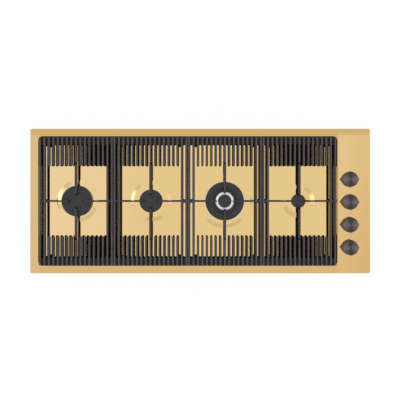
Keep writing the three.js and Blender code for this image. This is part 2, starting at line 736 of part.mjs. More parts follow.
// The aluminium crown that shares the flame out; it stands loose on the plate.
function makeCrown(burner, i) {
  const x = burnerX(i);
  const outer = crownRadius(burner);
  const over = neckTop + seat;
  const floorTop = over + crown.floor;
  const inner = burner.ring ? innerCrown.neck : mixer.radius - mixer.wall;
  const profile = [
    [inner, over - mixer.length],
    [inner + mixer.wall, over - mixer.length],
    [inner + mixer.wall, over],
    [burner.throat + seat, over],
    [burner.throat + seat, crownFoot],
    [outer, crownFoot],
    [outer, crownTop],
    [outer - crown.wall, crownTop],
    [outer - crown.wall, floorTop],
    [inner, floorTop],
  ];
  const high = crownTop + past;
  const notches = pinHoles(burner, x, crownFoot - past, high);
  let ports = portSlots(burner.ports, outer + past, crownTop - crown.slotDepth, high, x);
  let whole = turned(profile, facets.medium, x, wellMiddleY);
  if (burner.ring) {
    const spared = rod(ringWallOutside, floorTop, high + past, facets.medium, x, wellMiddleY);
    ports = ports.map((slot) => slot.subtract(spared));
    whole = joined(whole, ringWall(x, floorTop - past));
  }
  add(`flame_crown_${i + 1}`, cut(whole, ...ports, ...notches), finish.aluminium);
}

// The wall inside a ring burner, on which the ring cap's inner edge rests.
function ringWall(x, bottom) {
  const profile = [
    [ringCap.hole, bottom],
    [ringWallOutside, bottom],
    [ringWallOutside, crownTop],
    [ringCap.hole, crownTop],
  ];
  return turned(profile, facets.medium, x, wellMiddleY);
}

function makeCap(burner, i) {
  const top = capFoot + cap.height;
  const profile = [
    [0, capFoot + cap.recess],
    [crownRadius(burner) - crown.wall, capFoot + cap.recess],
    [crownRadius(burner) - crown.wall, capFoot],
    [burner.cap - cap.edge / 2, capFoot],
    [burner.cap, capFoot + cap.edge / 2],
    [burner.cap, top - cap.dome - cap.edge],
    [burner.cap - cap.edge, top - cap.dome],
    [0, top],
  ];
  add(`burner_cap_${i + 1}`, turned(profile, facets.large, burnerX(i), wellMiddleY), finish.enamel);
}

// The ring cap, and inside it the small crown and cap of the inner flame.
function makeRingCap(burner, i) {
  const x = burnerX(i);
  const top = capFoot + ringCap.height;
  const profile = [
    [ringCap.hole, capFoot],
    [burner.cap - cap.edge / 2, capFoot],
    [burner.cap, capFoot + cap.edge / 2],
    [burner.cap - cap.edge, top - cap.edge],
    [ringCap.crest, top],
    [ringCap.hole + cap.edge, top - cap.edge / 2],
    [ringCap.hole, top - cap.edge],
  ];
  add(`burner_cap_${i + 1}`, turned(profile, facets.large, x, wellMiddleY), finish.enamel);

  const foot = neckTop + crown.floor + 2 * seat;
  const crownHigh = foot + innerCrown.height;
  const { radius, rimWidth, lip, slope } = innerCrown;
  const bowl = [
    [mixer.radius - mixer.wall, foot - mixer.length],
    [mixer.radius, foot - mixer.length],
    [mixer.radius, foot],
    [radius, foot],
    [radius, crownHigh - slope],
    [innerCap.radius + lip, crownHigh],
    [innerCap.radius - rimWidth, crownHigh],
    [innerCap.radius - rimWidth, foot + crown.floor],
    [mixer.radius - mixer.wall, foot + crown.floor],
  ];
  const slotFoot = crownHigh - innerCrown.slotDepth;
  const slots = portSlots(innerCrown.ports, radius + past, slotFoot, crownHigh + past, x);
  const small = cut(turned(bowl, facets.medium, x, wellMiddleY), ...slots);
  add(`inner_flame_crown_${i + 1}`, small, finish.aluminium);
  const low = crownHigh + seat;
  const lid = [
    [0, low],
    [innerCap.radius - cap.edge / 2, low],
    [innerCap.radius, low + cap.edge / 2],
    [innerCap.radius - cap.edge / 2, low + innerCap.height - cap.dome],
    [0, low + innerCap.height],
  ];
  add(`centre_cap_${i + 1}`, turned(lid, facets.large, x, wellMiddleY), finish.enamel);
}

// The spark electrode and the thermocouple, each standing in a hole of the cup's flange.
function makePins(burner, i) {
  const x = burnerX(i);
  const low = plateauZ - pin.below;
  const tip = (shoulder, radius, length) => {
    const top = Math.min(plateauZ + shoulder + length, crownTop);
    return [
      [0, low], [pin.radius, low], [pin.radius, plateauZ + shoulder],
      [radius, plateauZ + shoulder], [radius, top], [0, top],
    ];
  };
  const spark = tip(electrode.shoulder, electrode.tipRadius, electrode.tip);
  const heat = tip(thermocouple.shoulder, thermocouple.tipRadius, thermocouple.tip);
  const name = i + 1;
  add(`spark_electrode_${name}`, turned(spark, facets.tiny, ...pinPlace(burner, x, 1)), finish.ceramic);
  add(`thermocouple_${name}`, turned(heat, facets.tiny, ...pinPlace(burner, x, -1)), finish.copper);
}

// ---- Grates ----

// A bar's plan outline at one height, from `outer` to `inner` along Y, with a rounded inner end.
function barRing(x, outer, inner, width, z, round) {
  const toward = Math.sign(inner - outer);
  const half = width / 2;
  const shoulder = inner - toward * grate.tip;
  const square = [[half, inner], [-half, inner]];
  const rounded = [[half, shoulder], [half / 2, inner], [-half / 2, inner], [-half, shoulder]];
  const points = [[-half, outer], [half, outer], ...(round ? rounded : square)];
  if (toward < 0) points.reverse();
  return points.map(([across, along]) => new THREE.Vector3(x + across, along, z));
}

function bar(x, outer, inner, top, height, widths, round) {
  const [base, crest] = widths;
  const low = barRing(x, outer, inner, base, top - height, round);
  return loft([low, barRing(x, outer, inner, crest, top, round)]);
}

// A finger's side view: level on top up to its sloping nose, its underside rising toward the tip.
function fingerOutline(from, to) {
  const top = grateTop - finger.drop;
  const low = top - finger.height;
  const toward = Math.sign(to - from);
  return [
    [from, low],
    [to - toward * finger.taperRun, low],
    [to, low + finger.taper],
    [to, top - finger.noseDrop],
    [to - toward * finger.nose, top],
    [from, top],
  ];
}

// The short web, narrow in its middle, that ties the two outermost bars at the side fingers.
function webShape(left, right, y) {
  const [wide, slim] = [web.width / 2, web.waist / 2];
  const middle = (left + right) / 2;
  const shape = new THREE.Shape();
  shape.moveTo(left, y - wide);
  shape.quadraticCurveTo(middle, y - slim, right, y - wide);
  shape.lineTo(right, y + wide);
  shape.quadraticCurveTo(middle, y + slim, left, y + wide);
  return shape;
}

function makeGrate(i) {
  const x = burnerX(i);
  const y = wellMiddleY;
  const [front, rear] = [y - grateDepth / 2, y + grateDepth / 2];
  const [left, right] = [x - grateWidth / 2, x + grateWidth / 2];
  const widths = [grate.barBase, grate.barTop];
  const railTop = grateTop - rail.drop;
  const pieces = [
    block(left, right, front, front + rail.depth, railTop - rail.height, railTop),
    block(left, right, rear - rail.depth, rear, railTop - rail.height, railTop),
  ];
  for (let k = 0; k < grate.bars; k++) {
    const barX = left + grate.barBase / 2 + k * barPitch;
    const fromSide = Math.min(k, grate.bars - 1 - k);
    if (fromSide < grate.fullBars) {
      pieces.push(bar(barX, front, rear, grateTop, grate.barHeight, widths, false));
      continue;
    }
    const length = k * 2 + 1 === grate.bars ? finger.shoulderAt : grate.toothLength;
    pieces.push(bar(barX, front, front + length, grateTop, grate.barHeight, widths, true));
    pieces.push(bar(barX, rear, rear - length, grateTop, grate.barHeight, widths, true));
  }
  const half = finger.width / 2;
  const inEdge = rail.depth / 2;
  const clear = burners[i].ring ? finger.clearOfRing : finger.clear;
  pieces.push(
    pushedX(fingerOutline(front + inEdge, y - clear), x - half, x + half),
    pushedX(fingerOutline(rear - inEdge, y + clear), x - half, x + half),
    pushedY(fingerOutline(left + grate.barBase / 2, x - clear), y - half, y + half),
    pushedY(fingerOutline(right - grate.barBase / 2, x + clear), y - half, y + half),
  );
  const webTop = grateTop - web.drop;
  for (const edge of [left + grate.barBase / 2, right - grate.barBase / 2 - barPitch]) {
    pieces.push(pushedUp(webShape(edge, edge + barPitch, y), webTop - web.height, webTop));
  }
  const footTop = railTop - rail.height / 2;
  for (const footX of [left + foot.inset, right - foot.inset]) {
    for (const footY of [front + foot.inset, rear - foot.inset]) {
      pieces.push(taperedFoot(footX, footY, footTop));
    }
  }
  add(`grate_${i + 1}`, joined(...pieces), finish.castIron);
}

function taperedFoot(x, y, top) {
  const square = (size, z) => {
    const half = size / 2;
    return [[half, half], [-half, half], [-half, -half], [half, -half]].map(([dx, dy]) => {
      return new THREE.Vector3(x + dx, y + dy, z);
    });
  };
  return loft([square(foot.bottom, floorZ + seat), square(foot.top, top)]);
}

makeTopPlate();
makeSeal();
makePan();
makeClamps();
makeTapBracket();
makeSwitchStrip();
makeGasRail();
makeInletElbow();
makeSparkGenerator();
makeTerminals();
for (let i = 0; i < knob.count; i++) {
  makeTapBody(i);
  makeTapPlug(i);
  makeSpindle(i, knobX, knobY(i));
  makeKnob(i);
  makeGasTube(i);
}
burners.forEach((burner, i) => {
  makeCup(burner, i);
  makeCrown(burner, i);
  if (burner.ring) makeRingCap(burner, i);
  else makeCap(burner, i);
  makePins(burner, i);
});
for (let i = 0; i < grate.count; i++) {
  makeGrate(i);
}

export default cooktop;
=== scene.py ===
import json
import math

import bmesh
import bpy
from mathutils import Matrix, Vector


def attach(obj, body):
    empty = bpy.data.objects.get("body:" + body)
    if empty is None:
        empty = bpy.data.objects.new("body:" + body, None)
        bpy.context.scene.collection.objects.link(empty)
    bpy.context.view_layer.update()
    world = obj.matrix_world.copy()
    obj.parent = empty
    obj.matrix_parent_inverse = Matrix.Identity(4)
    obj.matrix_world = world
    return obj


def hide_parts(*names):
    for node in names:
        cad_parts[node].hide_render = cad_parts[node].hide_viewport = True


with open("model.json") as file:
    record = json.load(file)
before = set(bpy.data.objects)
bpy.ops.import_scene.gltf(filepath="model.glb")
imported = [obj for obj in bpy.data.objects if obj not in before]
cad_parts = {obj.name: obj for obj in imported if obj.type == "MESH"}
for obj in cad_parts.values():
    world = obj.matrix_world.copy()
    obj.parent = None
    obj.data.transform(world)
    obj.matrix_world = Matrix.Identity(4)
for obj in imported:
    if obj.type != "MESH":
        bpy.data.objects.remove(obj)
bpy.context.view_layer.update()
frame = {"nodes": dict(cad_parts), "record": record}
print("frame loaded:", len(frame["nodes"]), "nodes")

# A wide built-in gas cooktop with a gold-coloured steel top, seen from straight above.
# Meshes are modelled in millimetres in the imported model's frame and turned into metres at the end:
# +X to the cook's right, +Y to the rear, +Z up.
mm = 0.001
near = 0.01  # places closer than this, in millimetres, count as one
weld = 0.0005  # and corners closer than this are merged

layout = {
    "burnerX": (-433.5, -173.5, 86.5, 346.5), "throats": (38, 27, 52, 13.5),
    "knobX": 528, "knobY": (76.7, -3.3, -83.3, -163.3),
    "topZ": 56, "floorZ": 46, "plateauZ": 50, "sheet": 1.2,
}


# Camera: it looks straight down from a little behind the middle, and its shifted lens brings the
# whole top into the middle of a square picture. The scale holds at the height of the plate.
shot = {
    "pixels": 400, "mmPerPixel": 3.529, "height": 3000, "stand": 50,
    "midX": -0.5, "midY": 3.6, "sensor": 36, "clip": (0.05, 60),
}


def makeCamera():
    camera = bpy.data.objects.new("camera", bpy.data.cameras.new("camera"))
    bpy.context.scene.collection.objects.link(camera)
    camera.location = (shot["midX"] * mm, shot["stand"] * mm, shot["height"] * mm)
    span = shot["pixels"] * shot["mmPerPixel"]
    camera.data.sensor_width = shot["sensor"]
    camera.data.lens = shot["sensor"] * (shot["height"] - layout["topZ"]) / span
    camera.data.shift_y = (shot["midY"] - shot["stand"]) / span
    camera.data.clip_start, camera.data.clip_end = shot["clip"]
    bpy.context.scene.camera = camera


# Light: an even white studio. One strength lights the part, and the other is what the camera and
# glossy surfaces see. The lamps add a wide soft light behind and above, one with a brighter core
# at each side, and a weak one at each front corner.
lights = {
    "worldStrength": 0.74, "seenStrength": 0.94,
    "lamps": {
        "overheadLamp": {"place": (0, 0.85, 3.2), "size": (3.2, 3.6), "level": 0.2},
        "leftLamp": {"place": (-2.45, 0.4, 2.4), "size": (1.5, 1.8), "level": 0.4},
        "leftCore": {"place": (-2.43, 0.4, 2.38), "size": (1.0, 1.3), "level": 0.7},
        "rightLamp": {"place": (2.3, 0.2, 2.4), "size": (1.2, 2.2), "level": 0.35},
        "rightCore": {"place": (2.28, 0.2, 2.38), "size": (0.8, 1.6), "level": 0.5},
        "frontLeftLamp": {"place": (-1.9, -1.5, 2.6), "size": (1.9, 1.9), "level": 0.2},
        "frontRightLamp": {"place": (1.9, -1.5, 2.6), "size": (1.9, 1.9), "level": 0.2},
    },
}


def makeLamp(name, place, size, level):  # its level adds to the world's, where 1 is white
    lamp = bpy.data.objects.new(name, bpy.data.lights.new(name, "AREA"))
    bpy.context.scene.collection.objects.link(lamp)
    lamp.data.shape = "RECTANGLE"
    lamp.data.size, lamp.data.size_y = size
    lamp.data.energy = level * math.pi * size[0] * size[1]
    lamp.location = place
    lamp.rotation_euler = Vector(place).to_track_quat("Z", "Y").to_euler()


def makeWorld():
    bpy.context.scene.view_settings.view_transform = "Standard"
    world = bpy.data.worlds.new("studio")
    bpy.context.scene.world = world
    world.use_nodes = True
    tree = world.node_tree
    lit = tree.nodes["Background"]
    lit.inputs["Color"].default_value = (1, 1, 1, 1)
    lit.inputs["Strength"].default_value = lights["worldStrength"]
    shown = tree.nodes.new("ShaderNodeBackground")
    shown.inputs["Color"].default_value = (1, 1, 1, 1)
    shown.inputs["Strength"].default_value = lights["seenStrength"]
    path = tree.nodes.new("ShaderNodeLightPath")
    either = tree.nodes.new("ShaderNodeMath")
    either.operation = "MAXIMUM"
    tree.links.new(path.outputs["Is Camera Ray"], either.inputs[0])
    tree.links.new(path.outputs["Is Glossy Ray"], either.inputs[1])
    mix = tree.nodes.new("ShaderNodeMixShader")
    tree.links.new(either.outputs[0], mix.inputs[0])
    tree.links.new(lit.outputs[0], mix.inputs[1])
    tree.links.new(shown.outputs[0], mix.inputs[2])
    tree.links.new(mix.outputs[0], tree.nodes["World Output"].inputs["Surface"])


# Materials. A Wire is one output socket, so that sums on shader values read as sums.
class Wire:
    def __init__(self, finish, socket):
        self.finish = finish
        self.socket = socket

    def sum(self, operation, first, second):
        return self.finish.node("Math", {"operation": operation}, {0: first, 1: second})

    def __add__(self, other):
        return self.sum("ADD", self, other)

    def __radd__(self, other):
        return self.sum("ADD", other, self)

    def __sub__(self, other):
        return self.sum("SUBTRACT", self, other)

    def __mul__(self, other):
        return self.sum("MULTIPLY", self, other)

    def __truediv__(self, other):
        return self.sum("DIVIDE", self, other)

    def __mod__(self, other):
        return self.sum("FLOORED_MODULO", self, other)

    def __pow__(self, other):
        return self.sum("POWER", self, other)

    def sine(self):
        return self.sum("SINE", self, 0)


class Finish:  # one material, and the single way in which its nodes are made
    def __init__(self, name):
        self.material = bpy.data.materials.new(name)
        self.material.use_nodes = True
        self.tree = self.material.node_tree
        self.tree.nodes.clear()

    def node(self, kind, settings, inputs, output=0):
        made = self.tree.nodes.new("ShaderNode" + kind)
        for name, value in settings.items():
            setattr(made, name, value)
        for name, value in inputs.items():
            if isinstance(value, Wire):
                self.tree.links.new(value.socket, made.inputs[name])
            else:
                made.inputs[name].default_value = value
        return Wire(self, made.outputs[output])

    def place(self, stretch=(1, 1, 1)):
        here = self.node("TexCoord", {}, {}, "Object")
        return self.node("Mapping", {}, {"Vector": here, "Scale": stretch})

    def axes(self, vector=None):
        split = self.node("SeparateXYZ", {}, {"Vector": vector or self.place()})
        return [Wire(self, split.socket.node.outputs[axis]) for axis in "XYZ"]

    def noise(self, scale, detail=2, stretch=(1, 1, 1)):
        values = {"Vector": self.place(stretch), "Scale": scale, "Detail": detail, "Roughness": 0.55}
        return self.node("TexNoise", {}, values, "Fac")

    def step(self, value, low, high):  # 0 below low and 1 above high, smooth between them
        values = {"Value": value, "From Min": low, "From Max": high}
        return self.node("MapRange", {"interpolation_type": "SMOOTHSTEP"}, values, "Result")

    def mix(self, share, first, second):
        return self.node("Mix", {"data_type": "RGBA"}, {0: share, 6: first, 7: second}, 2)

    def shade(self, color, share, dark, light):  # the colour times a grey between dark and light
        low, high = (dark, dark, dark, 1), (light, light, light, 1)
        settings = {"data_type": "RGBA", "blend_type": "MULTIPLY"}
        return self.node("Mix", settings, {0: 1, 6: color, 7: self.mix(share, low, high)}, 2)

    def bump(self, height, depth, strength):
        values = {"Height": height, "Distance": depth, "Strength": strength}
        return self.node("Bump", {}, values, "Normal")

    def surface(self, **sockets):
        values = {name.replace("_", " "): value for name, value in sockets.items()}
        shader = self.node("BsdfPrincipled", {}, values, "BSDF")
        output = self.tree.nodes.new("ShaderNodeOutputMaterial")
        self.tree.links.new(shader.socket, output.inputs["Surface"])
        return self.material


def seen(red, green, blue):  # a colour as the screen shows it, in the linear values of a socket
    def linear(value):
        share = value / 255
        return share / 12.92 if share <= 0.04045 else ((share + 0.055) / 1.055) ** 2.4
    return (linear(red), linear(green), linear(blue), 1)


# The plate's colour is painted lighter and darker from place to place as painted light and shade: the
# well lighter than the rim and lighter to the left, the rear rim darker than the front, the left rim
# lighter, and the strip darker toward its front and right.
# X, Y and Z pairs say, in metres, where one tone starts to give way to the next and where it has.
goldTones = {
    "wellLeft": seen(224, 195, 147), "wellRight": seen(217, 188, 132), "wellX": (-0.5, -0.1),
    "rimFront": seen(205, 170, 114), "rimRear": seen(199, 164, 104), "rimY": (-0.25, 0.25),
    "rimLeft": seen(208, 177, 126), "leftX": (-0.556, -0.578), "cornerY": (0.25, 0.222),
    "stripLight": seen(217, 187, 132), "stripDark": seen(204, 168, 113), "stripX": (0.478, 0.494),
    "stripDownY": (0.25, -0.3), "stripDownX": (0.49, 0.6), "shoulderZ": (0.0535, 0.0558),
    "roughness": 0.02, "streakRoughness": 0.02, "cloudRoughness": 0.015,
    "streakStretch": (26, 1500, 900), "cloudScale": 7, "bump": (0.00002, 0.35),
    "mark": seen(150, 118, 70), "markRadius": 1.6,
    "marks": ((583, 39), (571, -202), (530.5, -42), (530.5, -122)),  # small dots by the knobs
}


def makeGoldSteel():
    tones = goldTones
    gold = Finish("goldSteel")
    x, y, z = gold.axes()
    streaks = gold.noise(1, 3, tones["streakStretch"])  # fine brush lines along the plate
    clouds = gold.noise(tones["cloudScale"])
    # painted light and shade: the well, the rims and the strip each take a lighter or darker tone by
    # place
    well = gold.mix(gold.step(x, *tones["wellX"]), tones["wellLeft"], tones["wellRight"])
    rim = gold.mix(gold.step(y, *tones["rimY"]), tones["rimFront"], tones["rimRear"])
    corner = gold.step(y, *tones["cornerY"])  # the rear rim's tone holds into the corners
    rim = gold.mix(gold.step(x, *tones["leftX"]) * corner, rim, tones["rimLeft"])
    down = gold.step(y, *tones["stripDownY"]) * 0.6 + gold.step(x, *tones["stripDownX"]) * 0.4
    strip = gold.mix(down, tones["stripLight"], tones["stripDark"])
    rim = gold.mix(gold.step(x, *tones["stripX"]) * corner, rim, strip)
    color = gold.mix(gold.step(z, *tones["shoulderZ"]), well, rim)
    color = gold.shade(color, streaks, 0.965, 1.02)
    color = gold.shade(color, clouds, 0.985, 1.01)
    reach = tones["markRadius"] * mm
    for markX, markY in tones["marks"]:
        away = ((x - markX * mm) ** 2 + (y - markY * mm) ** 2) ** 0.5
        color = gold.mix(gold.step(away, reach, reach * 0.7), color, tones["mark"])
    roughness = tones["roughness"] + streaks * tones["streakRoughness"]
    roughness = roughness + clouds * tones["cloudRoughness"]
    normal = gold.bump(streaks, *tones["bump"])
    return gold.surface(Base_Color=color, Metallic=1.0, Roughness=roughness, Normal=normal)


# painted light: the bars' upper part is painted lighter than their flanks, which stay dark as painted
# shade; the rubbed patches on the very top are pan wear
ironTones = {
    "dark": seen(30, 28, 29), "light": seen(40, 37, 38), "roughness": 0.5,
    "crest": seen(72, 68, 70), "litCrestZ": (0.0893, 0.0906),
    "rubbed": seen(98, 92, 94), "rubbedZ": (0.0914, 0.092),
    "grainScale": 900, "patchScale": 38, "bump": (0.00022, 0.7), "specular": 0.22,
}


def makeCastIron():
    tones = ironTones
    iron = Finish("castIron")
    grain = iron.noise(tones["grainScale"], 3)
    patches = iron.noise(tones["patchScale"], 3)
    z = iron.axes()[2]
    color = iron.mix(patches, tones["dark"], tones["light"])
    # painted light and shade: the bars' tops lighter, their flanks dark
    color = iron.mix(iron.step(z, *tones["litCrestZ"]), color, tones["crest"])
    color = iron.mix(iron.step(z, *tones["rubbedZ"]) * patches, color, tones["rubbed"])  # by pans
    color = iron.shade(color, grain, 0.8, 1.15)
    roughness = tones["roughness"] + grain * 0.16 + patches * 0.08
    normal = iron.bump(grain + patches * 0.6, *tones["bump"])
    return iron.surface(
        Base_Color=color, Roughness=roughness, Specular_IOR_Level=tones["specular"], Normal=normal
    )


# painted shade: the ring cap's enamel is painted darker round its hole
enamelTones = {
    "dark": seen(34, 34, 38), "light": seen(44, 44, 48), "roughness": 0.24,
    "innerShade": 0.35, "innerShadeStart": (0.026, 0.03), "innerShadeEnd": (0.05, 0.043),
    "grainScale": 1400, "cloudScale": 30, "bump": (0.00008, 0.5), "specular": 0.38,
}


def makeEnamel():
    tones = enamelTones
    enamel = Finish("blackEnamel")
    grain = enamel.noise(tones["grainScale"])
    clouds = enamel.noise(tones["cloudScale"], 3)
    x, y, _ = enamel.axes()
    away = ((x - layout["burnerX"][2] * mm) ** 2 + y ** 2) ** 0.5
    color = enamel.mix(clouds, tones["dark"], tones["light"])
    shadedInside = enamel.step(away, *tones["innerShadeStart"]) * enamel.step(away, *tones["innerShadeEnd"])
    color = enamel.shade(color, shadedInside, 1, tones["innerShade"])  # painted shade: the ring cap is painted darker round its hole
    roughness = tones["roughness"] + grain * 0.1 + clouds * 0.08
    normal = enamel.bump(grain + clouds * 1.5, *tones["bump"])
    return enamel.surface(
        Base_Color=color, Roughness=roughness, Specular_IOR_Level=tones["specular"], Normal=normal
    )


# painted highlight: the knobs' tops are painted lighter toward their left and right and darker toward
# front and back, as a sheen
spunTones = {
    "dark": seen(62, 56, 58), "light": seen(106, 98, 99), "side": seen(20, 18, 18),
    "rings": 900, "roughness": 0.3, "topZ": (0.0813, 0.0817),
    "wobbleScale": 500, "bump": (0.00003, 0.5),
}


def makeSpunBlack():  # the knobs' top is turned, so its fine lines run round each knob's own axis
    tones = spunTones
    black = Finish("spunBlack")
    x, y, z = black.axes()
    pitch = (layout["knobY"][0] - layout["knobY"][1]) * mm
    start = layout["knobY"][0] * mm - pitch / 2
    across = x - layout["knobX"] * mm
    along = (y - start) % pitch - pitch / 2
    away = (across ** 2 + along ** 2) ** 0.5
    rings = (away * (tones["rings"] * 2 * math.pi)).sine()
    wobble = black.noise(tones["wobbleScale"])
    # painted highlight: lighter along each knob's left and right
    paintedSheen = (across / (away + 0.001)) ** 2
    color = black.mix(paintedSheen, tones["dark"], tones["light"])
    color = black.shade(color, rings * 0.5 + wobble, 0.92, 1.06)
    # the sides are a non-metallic black; the step lies high on the rounded rim, so most of the rim is
    # painted dark as painted shade
    onTop = black.step(z, *tones["topZ"])
    color = black.mix(onTop, tones["side"], color)
    roughness = tones["roughness"] + wobble * 0.1
    normal = black.bump(rings * 0.5 + wobble, *tones["bump"])
    return black.surface(Base_Color=color, Metallic=onTop * 0.9, Roughness=roughness, Normal=normal)


blastedTones = {"grainScale": 1300, "stainScale": 45, "bump": (0.00008, 0.6)}


def makeBlasted(name, dark, light, roughness):  # bead-blasted or die-cast metal
    tones = blastedTones
    metal = Finish(name)
    grain = metal.noise(tones["grainScale"], 3)
    stains = metal.noise(tones["stainScale"], 3)
    color = metal.mix(stains, dark, light)
    color = metal.shade(color, grain, 0.9, 1.06)
    rough = roughness + grain * 0.12 + stains * 0.1
    normal = metal.bump(grain, *tones["bump"])
    return metal.surface(Base_Color=color, Metallic=1.0, Roughness=rough, Normal=normal)


zincTones = {
    "dark": seen(150, 154, 158), "light": seen(196, 200, 203), "roughness": 0.34,
    "flakeScale": 95, "rolledStretch": (20, 700, 700), "bump": (0.00003, 0.4),
}


def makeGalvanised():  # flakes of zinc over the faint lines of a rolled sheet
    tones = zincTones
    zinc = Finish("galvanised")
    values = {"Vector": zinc.place(), "Scale": tones["flakeScale"]}
    level = zinc.axes(zinc.node("TexVoronoi", {}, values, "Color"))[0]
    rolled = zinc.noise(1, 2, tones["rolledStretch"])
    color = zinc.mix(level * 0.7 + rolled * 0.3, tones["dark"], tones["light"])
    roughness = tones["roughness"] + level * 0.18 + rolled * 0.08
    normal = zinc.bump(level, *tones["bump"])
    return zinc.surface(Base_Color=color, Metallic=0.9, Roughness=roughness, Normal=normal)


mouldedTones = {"grainScale": 1100, "flowScale": 25, "bump": (0.00006, 0.6)}


def makeMoulded(name, dark, light, roughness):  # plastic, foam and glazed ceramic
    tones = mouldedTones
    plastic = Finish(name)
    grain = plastic.noise(tones["grainScale"])
    flow = plastic.noise(tones["flowScale"])
    color = plastic.shade(plastic.mix(flow, dark, light), grain, 0.95, 1.03)
    rough = roughness + grain * 0.1
    normal = plastic.bump(grain, *tones["bump"])
    return plastic.surface(Base_Color=color, Roughness=rough, Normal=normal)


def makeFinishes():
    return {
        "gold_steel": makeGoldSteel(),
        "cast_iron": makeCastIron(),
        "black_enamel": makeEnamel(),
        "black_metal": makeSpunBlack(),
        "cast_aluminium": makeBlasted("castAluminium", seen(206, 204, 200), seen(232, 230, 226), 0.32),
        "galvanised_steel": makeGalvanised(),
        "bare_steel": makeBlasted("bareSteel", seen(150, 152, 154), seen(182, 184, 186), 0.28),
        "brass": makeBlasted("brass", seen(186, 152, 78), seen(212, 178, 98), 0.24),
        "copper": makeBlasted("copper", seen(176, 104, 70), seen(206, 130, 92), 0.22),
        "dark_plastic": makeMoulded("darkPlastic", seen(34, 34, 37), seen(44, 44, 47), 0.5),
        "light_plastic": makeMoulded("lightPlastic", seen(214, 211, 200), seen(226, 223, 213), 0.48),
        "seal_foam": makeMoulded("sealFoam", seen(30, 30, 31), seen(42, 42, 43), 0.85),
        "white_ceramic": makeMoulded("whiteCeramic", seen(226, 222, 213), seen(238, 235, 228), 0.22),
    }


# The floor: pale, and lit evenly to the camera so that it has no horizon.
floorShape = {"color": (0.97, 0.97, 0.97, 1), "glow": 0.96, "size": 6, "z": -0.0004, "cells": 8}


def makeFloor():
    shape = floorShape
    floor = Finish("floor")
    speckle = floor.noise(3)
    color = floor.shade(shape["color"], speckle, 0.995, 1.0)
    lit = floor.node("BsdfDiffuse", {}, {"Color": color}, "BSDF")
    glow = floor.node("Emission", {}, {"Color": (1, 1, 1, 1), "Strength": 1}, "Emission")
    seenBy = floor.node("LightPath", {}, {}, "Is Camera Ray")
    both = floor.node("MixShader", {}, {0: seenBy * shape["glow"], 1: lit, 2: glow})
    output = floor.tree.nodes.new("ShaderNodeOutputMaterial")
    floor.tree.links.new(both.socket, output.inputs["Surface"])
    bm = bmesh.new()
    cells = shape["cells"]
    bmesh.ops.create_grid(bm, x_segments=cells, y_segments=cells, size=shape["size"])
    bmesh.ops.translate(bm, verts=bm.verts, vec=(0, 0, shape["z"]))
    mesh = bpy.data.meshes.new("floor")
    bm.to_mesh(mesh)
    bm.free()
    mesh.materials.append(floor.material)
    piece = bpy.data.objects.new("floor", mesh)
    bpy.context.scene.collection.objects.link(piece)


# Shared steps of the modelling.
def vertsOf(geometry):
    return [item for item in geometry if isinstance(item, bmesh.types.BMVert)]


def edgesOf(geometry):
    return [item for item in geometry if isinstance(item, bmesh.types.BMEdge)]


def layGrid(bm, acrossLines, alongLines, z):  # a flat sheet, divided along the given lines
    columns, rows = len(acrossLines) - 1, len(alongLines) - 1
    bmesh.ops.create_grid(bm, x_segments=columns, y_segments=rows, size=1)
    for vert in bm.verts:
        column = round((vert.co.x + 1) / 2 * columns)
        row = round((vert.co.y + 1) / 2 * rows)
        vert.co = (acrossLines[column], alongLines[row], z)


def pushFaces(bm, faces, move):  # extrudes faces as one region and moves the new ones
    region = set(faces)
    for face in faces:
        region.update(face.edges)
        region.update(face.verts)
    made = bmesh.ops.extrude_face_region(bm, geom=list(region))["geom"]
    bmesh.ops.translate(bm, verts=vertsOf(made), vec=move)
    return [item for item in made if isinstance(item, bmesh.types.BMFace)]


def roundEdges(bm, edges, size, steps=2):
    values = {"affect": "EDGES", "offset_type": "OFFSET", "profile": 0.5, "material": -1}
    bmesh.ops.bevel(bm, geom=edges, offset=size, segments=steps, clamp_overlap=True, **values)


def turn(bm, profile, x, y, steps, material=0):
    # profile: [radius, height, rounding] corners, from the axis or back round to the first
    old = set(bm.verts)
    corners = [bm.verts.new((x + radius, y, z)) for radius, z, _ in profile]
    for first, second in zip(corners, corners[1:]):
        bm.edges.new((first, second))
    if profile[0][0] > 0:
        bm.edges.new((corners[-1], corners[0]))
    values = {"affect": "VERTICES", "offset_type": "OFFSET", "profile": 0.5, "material": -1}
    for corner, (_, _, rounding) in zip(corners, profile):
        if rounding:
            bmesh.ops.bevel(bm, geom=[corner], offset=rounding, segments=4, **values)
    line = [vert for vert in bm.verts if vert not in old]
    edges = list({edge for vert in line for edge in vert.link_edges})
    spin = {"cent": (x, y, 0), "axis": (0, 0, 1), "angle": 2 * math.pi, "use_merge": True}
    bmesh.ops.spin(bm, geom=line + edges, steps=steps, **spin)
    made = [vert for vert in bm.verts if vert not in old]
    bmesh.ops.remove_doubles(bm, verts=made, dist=weld)
    for vert in bm.verts:
        if vert not in old:
            for face in vert.link_faces:
                face.material_index = material


def finishPiece(name, bm, slots, body, nodes, sharp=38):
    bmesh.ops.remove_doubles(bm, verts=bm.verts, dist=weld)
    bmesh.ops.recalc_face_normals(bm, faces=bm.faces)
    bmesh.ops.scale(bm, vec=(mm, mm, mm), verts=bm.verts)
    for face in bm.faces:
        face.smooth = True
    for edge in bm.edges:
        if len(edge.link_faces) == 2 and edge.calc_face_angle() > math.radians(sharp):
            edge.smooth = False
    mesh = bpy.data.meshes.new(name)
    bm.to_mesh(mesh)
    bm.free()
    for slot in slots:
        mesh.materials.append(finishes[slot])
    piece = bpy.data.objects.new(name, mesh)
    bpy.context.scene.collection.objects.link(piece)
    shading = piece.modifiers.new("shading", "WEIGHTED_NORMAL")
    shading.keep_sharp = True
    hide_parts(*nodes)
    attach(piece, body)
    return piece


